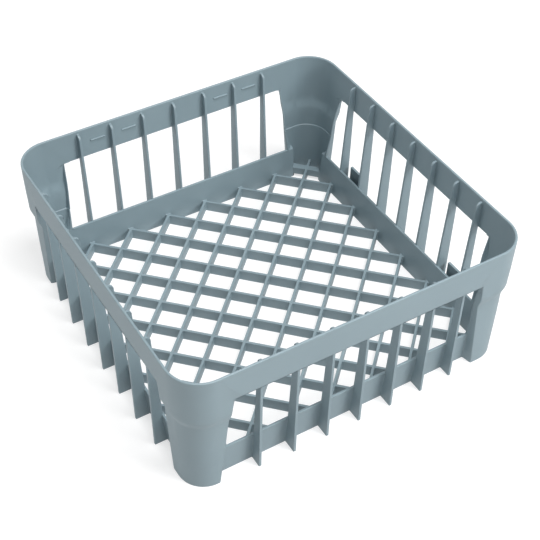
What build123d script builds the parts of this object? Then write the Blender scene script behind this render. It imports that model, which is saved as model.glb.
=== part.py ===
"""Glass rack for a glasswasher: an open square basket moulded in one piece of polypropylene.

Origin at the centre of the base, +Z up, millimetres. The front side faces -Y.
"""
import os
from math import cos, radians, tan

from build123d import *

# Overall size, at the outside of the rim's top edge
rack_width = 350.0
rack_height = 144.0
corner_radius = 32.0
wall = 2.5
draft = 1.3

# Rim, the plain band round the top
rim_height = 32.4
rim_edge = 0.7

# Corner posts, stepped inward half way down so that racks stack
step_top = 80.0
step_drop = 11.0
step_depth = 3.4
post_land_top = 14.0
post_land_bottom = 2.5
ledge_height = 60.0
ledge_depth = 0.8

# Returns, where the wall swings from a post to the side between the posts
return_run_top = 4.5
return_run_bottom = 9.5
return_angle = 45.0
return_flats = 5
band_end_run_top = 2.0
band_end_run_bottom = 6.0

# Lower band, set in from the rim between the posts
band_height = 36.4
band_inset_top = 13.2
band_inset_bottom = 16.7

# Upright fins, from the lower band's outside to the rim's inside
fin_count = 7
fin_pitch = 34.7
fin_shift = 2.4
fin_thickness = 2.4
fin_outer_inset = 2.5
end_fin_set_back = 1.8
fin_depth_in_rim = 6.0
fin_top_gap = 3.5
fin_top_radius = 5.0
band_seat = 1.2
rim_seat = 0.3

# Floor, a diagonal lattice of upright bars with a wider tie across each corner
bar_count = 13
bar_pitch = 31.4
bar_thickness = 2.6
bar_height = 12.0
bar_angle = 45.0
tie_distance = 210.0
tie_width = 7.5
tie_depth = 8.5

# Marker pockets on the right-hand side, each a hooked plate between two fins
pocket_window = 2.5
pocket_side_gap = 4.0
pocket_height = 40.0

half = rack_width / 2
straight = half - corner_radius
rim_bottom = rack_height - rim_height
rim_shoulder = rack_height - rim_edge
step_bottom = step_top - step_drop
foot_wall = wall + ledge_depth
cut_margin = 2 * wall
side_count = 4
quarter = 360 / side_count
sides = [Plane.XY.rotated((0, 0, quarter * turn)) for turn in range(side_count)]


def between(z, z_low, low, z_high, high):
    """Value at height z on a straight line, held at both ends."""
    share = min(max((z - z_low) / (z_high - z_low), 0), 1)
    return low + share * (high - low)


def post_inset(z):
    """How far the posts' outside lies in from the rim's top edge."""
    return (rack_height - z) * tan(radians(draft)) + between(z, step_bottom, step_depth, step_top, 0)


def side_inset(z):
    """The same for the side between the posts: the band, closing on the rim above it."""
    if z <= band_height:
        return between(z, 0, band_inset_bottom, band_height, band_inset_top)
    return between(z, band_height, band_inset_top, rim_bottom, post_inset(rim_bottom) + rim_seat)


def post_edge(z):
    """Distance from the side's middle to the post's edge, a flat land before the corner's round."""
    return straight - between(z, 0, post_land_bottom, rim_bottom, post_land_top)


def return_run(z):
    """Length along the side in which the outside swings from the post to the side."""
    return between(z, 0, return_run_bottom, rim_bottom, return_run_top)


def band_end_run(z):
    """The same on the inside, where the band's flat face runs on behind the post."""
    return between(z, 0, band_end_run_bottom, band_height, band_end_run_top)


def window_edge(z):
    """Distance from the side's middle to the end of the post's return."""
    return post_edge(z) - return_run(z)


def outline(z, post_wall, side_wall, run):
    """Closed plan of the basket at height z, moved inward by the walls' thickness."""
    face = half - post_inset(z) - post_wall
    side = half - side_inset(z) - side_wall
    edge = post_edge(z) + post_wall * tan(radians(return_angle / 2))
    half_side = [(straight, -face)]
    for flat in range(return_flats + 1):
        share = flat / return_flats
        swing = share * share * (3 - 2 * share)
        half_side.append((edge - share * run, (face - side) * swing - face))
    with BuildSketch(Plane.XY.offset(z)) as plan:
        with BuildLine():
            for turn in range(side_count):
                left = [Vector(-x, y).rotate(Axis.Z, quarter * turn) for x, y in half_side]
                right = [Vector(x, y).rotate(Axis.Z, quarter * turn) for x, y in half_side[::-1]]
                centre = Vector(straight, -straight).rotate(Axis.Z, quarter * turn)
                Polyline(left + right)
                CenterArc(centre, face - straight, quarter * (turn - 1), quarter)
        make_face()
    return plan.sketch


def rim_outline(z, rim_wall):
    """Closed plan of the rim at height z, a square with round corners."""
    face = half - post_inset(z) - rim_wall
    with BuildSketch(Plane.XY.offset(z)) as plan:
        RectangleRounded(2 * face, 2 * face, face - straight)
    return plan.sketch


skin_levels = (0.0, band_height, step_bottom, step_top, rim_bottom)
room_levels = (ledge_height, step_bottom, step_top, rim_bottom)
skin = [outline(z, 0, 0, return_run(z)) for z in skin_levels]
band_room = [outline(z, foot_wall, wall, band_end_run(z)) for z in (0.0, band_height)]
foot_room = [outline(z, foot_wall, wall, return_run(z)) for z in (band_height, ledge_height)]
post_room = [outline(z, wall, wall, return_run(z)) for z in room_levels]
floor_edge = [outline(z, foot_wall / 2, wall / 2, return_run(z)) for z in (0.0, band_height)]
rim_skin = [rim_outline(z, 0) for z in (rim_bottom, rim_shoulder)]
rim_skin.append(rim_outline(rack_height, rim_edge))
rim_room = [rim_outline(z, wall) for z in (rim_bottom, rim_shoulder)]
rim_room.append(rim_outline(rack_height, wall - rim_edge))

# Floor lattice and corner ties, cut to the middle of the walls round them
with BuildPart() as floor:
    for angle in (bar_angle, -bar_angle):
        with BuildSketch(Plane.XY.rotated((0, 0, angle))):
            with GridLocations(bar_pitch, 0, bar_count, 1):
                Rectangle(bar_thickness, rack_width / cos(radians(bar_angle)))
    extrude(amount=bar_height)
    for angle in (bar_angle, -bar_angle):
        with BuildSketch(Plane.XY.offset(bar_height - tie_depth).rotated((0, 0, angle))):
            with GridLocations(2 * tie_distance, 0, 2, 1):
                Rectangle(tie_width, 2 * corner_radius)
    extrude(amount=tie_depth)
    loft(floor_edge, ruled=True, mode=Mode.INTERSECT)

with BuildPart() as rack:
    # Posts, band and rim, one drawn skin from the base to the top
    loft(skin, ruled=True)
    loft(rim_skin, ruled=True)
    loft(band_room, ruled=True, mode=Mode.SUBTRACT)
    loft(foot_room, ruled=True, mode=Mode.SUBTRACT)
    loft(post_room, ruled=True, mode=Mode.SUBTRACT)
    loft(rim_room, ruled=True, mode=Mode.SUBTRACT)

    # Windows, between the posts and from the band up to the rim
    for side in sides:
        outside = Plane(side.origin - side.y_dir * (half + cut_margin), side.x_dir, -side.y_dir)
        with BuildSketch(outside):
            Polygon(
                (-window_edge(band_height), band_height),
                (window_edge(band_height), band_height),
                (window_edge(rim_bottom), rim_bottom),
                (-window_edge(rim_bottom), rim_bottom),
                align=None,
            )
    extrude(amount=-(band_inset_bottom + wall + 2 * cut_margin), mode=Mode.SUBTRACT)

    # Fins, blades that stand across the wall: outside the band, inside the rim
    fin_top = rack_height - fin_top_gap
    fin_inner = post_inset(fin_top) + wall + fin_depth_in_rim
    fin_rim_inset = post_inset(rim_bottom) + rim_seat
    for turn, side in enumerate(sides):
        for index in range(fin_count):
            set_back = end_fin_set_back if index in (0, fin_count - 1) else 0
            offset = (index - (fin_count - 1) / 2) * fin_pitch + fin_shift * (-1) ** turn
            with BuildSketch(Plane(side.origin + side.x_dir * offset, side.y_dir, side.x_dir)):
                with BuildLine():
                    Polyline(
                        (fin_inner - half, fin_top - fin_top_radius),
                        (band_inset_top + band_seat - half, band_height),
                        (band_inset_bottom + band_seat - half, 0),
                        (fin_outer_inset + set_back - half, 0),
                        (fin_rim_inset + set_back - half, rim_bottom),
                        (fin_rim_inset + wall / 2 - half, fin_top),
                        (fin_inner - fin_top_radius - half, fin_top),
                    )
                    RadiusArc(
                        (fin_inner - fin_top_radius - half, fin_top),
                        (fin_inner - half, fin_top - fin_top_radius),
                        fin_top_radius,
                    )
                make_face()
    extrude(amount=fin_thickness / 2, both=True)

    # Marker pockets, hooked plates level with the fins' outer edges
    pocket_width = fin_pitch - fin_thickness - 2 * pocket_side_gap
    pocket_top_inset = between(pocket_height, 0, fin_outer_inset, rim_bottom, fin_rim_inset)
    for place in (-pocket_window, pocket_window):
        with BuildSketch(Plane((0, place * fin_pitch - fin_shift, 0), (1, 0, 0), (0, -1, 0))):
            Polygon(
                (half - band_inset_bottom - band_seat, 0),
                (half - fin_outer_inset, 0),
                (half - pocket_top_inset, pocket_height),
                (half - pocket_top_inset - wall, pocket_height),
                (half - fin_outer_inset - wall, wall),
                (half - band_inset_bottom - band_seat, wall),
                align=None,
            )
    extrude(amount=pocket_width / 2, both=True)

    add(floor.part)

rack.part.label = "rack"
os.makedirs("parts", exist_ok=True)
export_step(rack.part, "parts/rack.step")
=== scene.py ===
from math import radians

import bpy
from mathutils import Matrix, Vector


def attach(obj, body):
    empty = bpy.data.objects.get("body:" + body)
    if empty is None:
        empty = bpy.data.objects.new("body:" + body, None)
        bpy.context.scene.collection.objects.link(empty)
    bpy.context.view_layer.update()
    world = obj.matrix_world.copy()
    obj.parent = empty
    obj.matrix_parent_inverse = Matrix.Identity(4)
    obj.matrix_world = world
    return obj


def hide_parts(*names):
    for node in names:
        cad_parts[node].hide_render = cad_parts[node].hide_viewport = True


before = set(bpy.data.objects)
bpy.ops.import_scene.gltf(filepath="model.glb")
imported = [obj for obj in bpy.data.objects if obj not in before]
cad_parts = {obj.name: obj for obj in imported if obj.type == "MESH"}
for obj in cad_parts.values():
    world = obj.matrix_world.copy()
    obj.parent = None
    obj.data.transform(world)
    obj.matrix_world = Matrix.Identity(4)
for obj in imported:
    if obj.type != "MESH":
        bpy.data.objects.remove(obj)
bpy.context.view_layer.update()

# Rack: the whole basket is one injection moulding in grey-blue polypropylene.
# Rim, posts, band, fins, pockets and floor lattice leave the mould together,
# with every edge slightly rounded and a satin skin from the blasted mould.
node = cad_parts["rack"]
rack = bpy.data.objects.new("moulded_rack", node.data.copy())
bpy.context.scene.collection.objects.link(rack)
bpy.ops.object.select_all(action="DESELECT")
bpy.context.view_layer.objects.active = rack
rack.select_set(True)
rack.data.materials.clear()

weld_distance = 0.00001
bpy.ops.object.mode_set(mode="EDIT")
bpy.ops.mesh.select_all(action="SELECT")
bpy.ops.mesh.remove_doubles(threshold=weld_distance)
bpy.ops.object.mode_set(mode="OBJECT")

# Posts: the stacking step is lifted to its height on the real rack, and each flat land
# runs on almost to the window, where it turns in sharply. The front window's near end
# opens as far as the land instead.
half_width, corner_start = 0.175, 0.143
rim_foot, band_top = 0.1116, 0.0364
ledge, step_foot, step_head, step_lift = 0.060, 0.069, 0.080, 0.012
foot_land, land_growth = 0.0025, 0.0115
foot_run, run_loss, run_kept = 0.0095, 0.0050, 0.3
foot_post_inset, post_slope = 0.0067, 0.0227
foot_band_inset, band_slope = 0.0167, 0.0962
window_margin, land_margin, skin_margin, deepest_inset = 0.0005, 0.0016, 0.001, 0.021
for vertex in rack.data.vertices:
    x, y, z = vertex.co
    if z > rim_foot + weld_distance:
        continue

    lifted = z
    if ledge < z <= step_foot:
        lifted += step_lift * (z - ledge) / (step_foot - ledge)
    elif step_foot < z <= step_head:
        lifted += step_lift
    elif step_head < z < rim_foot:
        lifted += step_lift * (rim_foot - z) / (rim_foot - step_head)
    vertex.co.z = lifted

    axis = 0 if abs(y) > abs(x) else 1
    along = abs(vertex.co[axis])
    inset = half_width - abs(vertex.co[1 - axis])
    land_end = corner_start - foot_land - land_growth * z / rim_foot
    run = foot_run - run_loss * z / rim_foot
    if not land_end - run - window_margin < along < land_end + land_margin or inset > deepest_inset:
        continue
    # Beside the band only the outside moves, and the band's end inside the post stays
    if z < band_top + weld_distance:
        share = min(max((land_end - along) / run, 0), 1)
        swing = share * share * (3 - 2 * share)
        post = foot_post_inset - post_slope * z
        side = foot_band_inset - band_slope * z
        if inset > post + (side - post) * swing + skin_margin:
            continue
    new_end = corner_start - foot_land - land_growth * lifted / rim_foot
    new_run = foot_run - run_loss * lifted / rim_foot
    if axis == 0 and x < 0 and y < 0:
        moved = new_end - run_kept * (land_end - along)
    else:
        moved = new_end - new_run + run_kept * (along - land_end + run)
    vertex.co[axis] = moved if vertex.co[axis] > 0 else -moved

# Label rests: four short ribs moulded on the inside of the back rim, between its outer fins
rest_size = (0.016, 0.0030, 0.0012)
rest_y, rest_z = 0.1724, 0.1290
for rest_x in (-0.0860, -0.0523, 0.0526, 0.0860):
    bpy.ops.mesh.primitive_cube_add(size=1, location=(rest_x, rest_y, rest_z), scale=rest_size)
    bpy.context.view_layer.objects.active = rack
    rack.select_set(True)
    bpy.ops.object.join()

# Moulded edges: a small round on every sharp edge, and shading that follows the large faces
edge_round = 0.00045
sharp_angle = radians(32)
rounding = rack.modifiers.new("moulded_edges", "BEVEL")
rounding.width = edge_round
rounding.segments = 2
rounding.limit_method = "ANGLE"
rounding.angle_limit = sharp_angle
rounding.use_clamp_overlap = False
rounding.miter_outer = "MITER_ARC"
bpy.ops.object.modifier_apply(modifier=rounding.name)
bpy.ops.object.shade_smooth_by_angle(angle=sharp_angle)
evening = rack.modifiers.new("even_shading", "WEIGHTED_NORMAL")
evening.mode = "FACE_AREA"
evening.weight = 50
evening.keep_sharp = True
bpy.ops.object.modifier_apply(modifier=evening.name)

# Polypropylene skin: grey-blue, a little cloudy, with fine tool texture
polypropylene = bpy.data.materials.new("grey_blue_polypropylene")
polypropylene.use_nodes = True
tree = polypropylene.node_tree
skin = tree.nodes["Principled BSDF"]
skin.inputs["Specular IOR Level"].default_value = 0.6
skin.inputs["Subsurface Weight"].default_value = 0.04
skin.inputs["Subsurface Radius"].default_value = (0.002, 0.0024, 0.0026)
skin.inputs["Subsurface Scale"].default_value = 1.0
place = tree.nodes.new("ShaderNodeTexCoord")

cloud = tree.nodes.new("ShaderNodeTexNoise")
cloud.inputs["Scale"].default_value = 9.0
cloud.inputs["Detail"].default_value = 3.0
tree.links.new(place.outputs["Object"], cloud.inputs["Vector"])
tint = tree.nodes.new("ShaderNodeValToRGB")
tint.color_ramp.elements[0].position = 0.3
tint.color_ramp.elements[0].color = (0.228, 0.305, 0.341, 1)
tint.color_ramp.elements[1].position = 0.7
tint.color_ramp.elements[1].color = (0.254, 0.335, 0.371, 1)
tree.links.new(cloud.outputs["Fac"], tint.inputs["Fac"])
tree.links.new(tint.outputs["Color"], skin.inputs["Base Color"])

grain = tree.nodes.new("ShaderNodeTexNoise")
grain.inputs["Scale"].default_value = 900.0
grain.inputs["Detail"].default_value = 2.0
tree.links.new(place.outputs["Object"], grain.inputs["Vector"])
sheen = tree.nodes.new("ShaderNodeMapRange")
sheen.inputs["To Min"].default_value = 0.40
sheen.inputs["To Max"].default_value = 0.52
tree.links.new(cloud.outputs["Fac"], sheen.inputs["Value"])
tree.links.new(sheen.outputs["Result"], skin.inputs["Roughness"])
texture = tree.nodes.new("ShaderNodeBump")
texture.inputs["Strength"].default_value = 0.05
texture.inputs["Distance"].default_value = 0.0002
tree.links.new(grain.outputs["Fac"], texture.inputs["Height"])
tree.links.new(texture.outputs["Normal"], skin.inputs["Normal"])
rack.data.materials.append(polypropylene)

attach(rack, "root")
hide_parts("rack")

# Studio table: a plain sheet of grey matt laminate, far larger than the rack, which
# it stands on, given a painted white glow. To the camera the glow brightens away from the rack,
# so that its far edge is lost in the room and its shadows are lifted; the glow it throws on the
# rack is weaker and lifts the rack's shade from below.
table_size = 8.0
bpy.ops.mesh.primitive_plane_add(size=table_size, location=(0, 0, 0))
table = bpy.context.object
table.name = "studio_table"
laminate = bpy.data.materials.new("grey_laminate_with_painted_glow")
laminate.use_nodes = True
sheet_tree = laminate.node_tree
sheet = sheet_tree.nodes["Principled BSDF"]
sheet.inputs["Base Color"].default_value = (0.45, 0.45, 0.45, 1)
sheet.inputs["Roughness"].default_value = 0.9
sheet.inputs["Specular IOR Level"].default_value = 0.1
sheet.inputs["Emission Color"].default_value = (1, 1, 1, 1)
sheet_place = sheet_tree.nodes.new("ShaderNodeTexCoord")
distance = sheet_tree.nodes.new("ShaderNodeVectorMath")
distance.operation = "LENGTH"
sheet_tree.links.new(sheet_place.outputs["Object"], distance.inputs["Vector"])
fade = sheet_tree.nodes.new("ShaderNodeMapRange")
fade.inputs["From Min"].default_value = 0.5
fade.inputs["From Max"].default_value = 1.8
fade.inputs["To Min"].default_value = 0.62
fade.inputs["To Max"].default_value = 1.0
sheet_tree.links.new(distance.outputs["Value"], fade.inputs["Value"])
# Painted glow: the table emits white light, stronger to the camera than to the rack
sheet_ray = sheet_tree.nodes.new("ShaderNodeLightPath")
painted_glow_strength = sheet_tree.nodes.new("ShaderNodeMapRange")
painted_glow_strength.inputs["To Min"].default_value = 0.36
sheet_tree.links.new(sheet_ray.outputs["Is Camera Ray"], painted_glow_strength.inputs["Value"])
sheet_tree.links.new(fade.outputs["Result"], painted_glow_strength.inputs["To Max"])
sheet_tree.links.new(painted_glow_strength.outputs["Result"], sheet.inputs["Emission Strength"])
table.data.materials.append(laminate)

# Studio light: one large soft box overhead and one at the right front do most of the
# work; weak ones at the left and behind fill in. The room is white to the camera and
# dim as a light.
aim = Vector((0, 0, 0.07))
lamps = {
    "overhead_soft_box": ((0.1, -0.7, 2.4), 1.0, 44.0),
    "right_soft_box": ((0.9, -1.4, 1.2), 0.8, 21.0),
    "left_soft_box": ((-2.0, 1.3, 1.3), 1.4, 15.0),
    "back_soft_box": ((0.3, 2.2, 1.3), 1.4, 10.0),
}
for name, (spot, size, power) in lamps.items():
    lamp = bpy.data.lights.new(name, "AREA")
    lamp.shape = "SQUARE"
    lamp.size = size
    lamp.energy = power
    holder = bpy.data.objects.new(name, lamp)
    bpy.context.scene.collection.objects.link(holder)
    holder.location = spot
    holder.rotation_euler = (aim - Vector(spot)).to_track_quat("-Z", "Y").to_euler()
room = bpy.data.worlds.new("white_room")
bpy.context.scene.world = room
room.use_nodes = True
room_tree = room.node_tree
walls = room_tree.nodes["Background"]
walls.inputs["Color"].default_value = (1, 1, 1, 1)
room_ray = room_tree.nodes.new("ShaderNodeLightPath")
glow = room_tree.nodes.new("ShaderNodeMapRange")
glow.inputs["To Min"].default_value = 0.22
glow.inputs["To Max"].default_value = 1.0
room_tree.links.new(room_ray.outputs["Is Camera Ray"], glow.inputs["Value"])
room_tree.links.new(glow.outputs["Result"], walls.inputs["Strength"])
bpy.context.scene.view_settings.view_transform = "Standard"

# Camera: a short telephoto lens at eye height over the table, looking down
# across the front left corner.
camera_data = bpy.data.cameras.new("studio_camera")
camera = bpy.data.objects.new("studio_camera", camera_data)
bpy.context.scene.collection.objects.link(camera)
bpy.context.scene.camera = camera
camera_data.sensor_width = 36.0
camera_data.lens = 78.8
camera_spot = (-0.4277, -0.7091, 0.8489)
heading, tilt, roll = radians(31.71), radians(44.02), radians(0.97)
turn = Matrix.Rotation(-heading, 4, "Z") @ Matrix.Rotation(radians(90) - tilt, 4, "X")
turn = turn @ Matrix.Rotation(roll, 4, "Z")
camera.matrix_world = Matrix.Translation(camera_spot) @ turn
